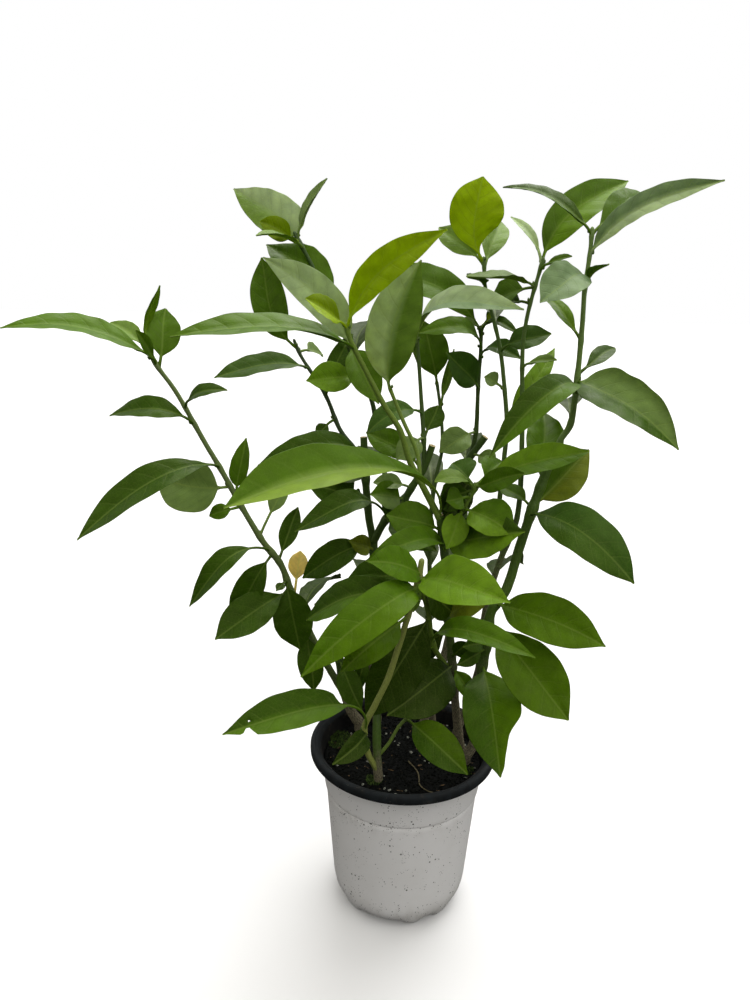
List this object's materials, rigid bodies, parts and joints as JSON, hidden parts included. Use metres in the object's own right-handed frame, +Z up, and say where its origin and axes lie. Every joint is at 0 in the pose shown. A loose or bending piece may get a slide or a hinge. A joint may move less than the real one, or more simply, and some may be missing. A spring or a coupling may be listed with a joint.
{
  "type": "potted night-blooming jasmine",
  "caption": "Bushy night-blooming jasmine with arching pointed leaves, grown from cut canes standing in soil in a white, thin-walled nursery pot with a dark rolled rim.",
  "frame": {"origin": "centre of the flat underside of the pot", "axes": "+Z up along the pot's axis, -Y towards the side the plant is seen from, +X to its right"},
  "size_m": [0.464, 0.3072, 0.607],
  "materials": {
    "pot_wall": "satin white outside, dark grey rim and inside",
    "soil": "rough, damp potting mix",
    "foliage": "waxy green leaves on green to grey-brown stems"
  },
  "bodies": {
    "root": {"pot": "pot_wall", "soil": "soil", "cane_left": "foliage", "cane_back": "foliage", "cane_front": "foliage", "cane_middle": "foliage", "cane_thin": "foliage", "cane_pruned": "foliage", "cane_slender": "foliage", "cane_right": "foliage"}
  },
  "joints": []
}
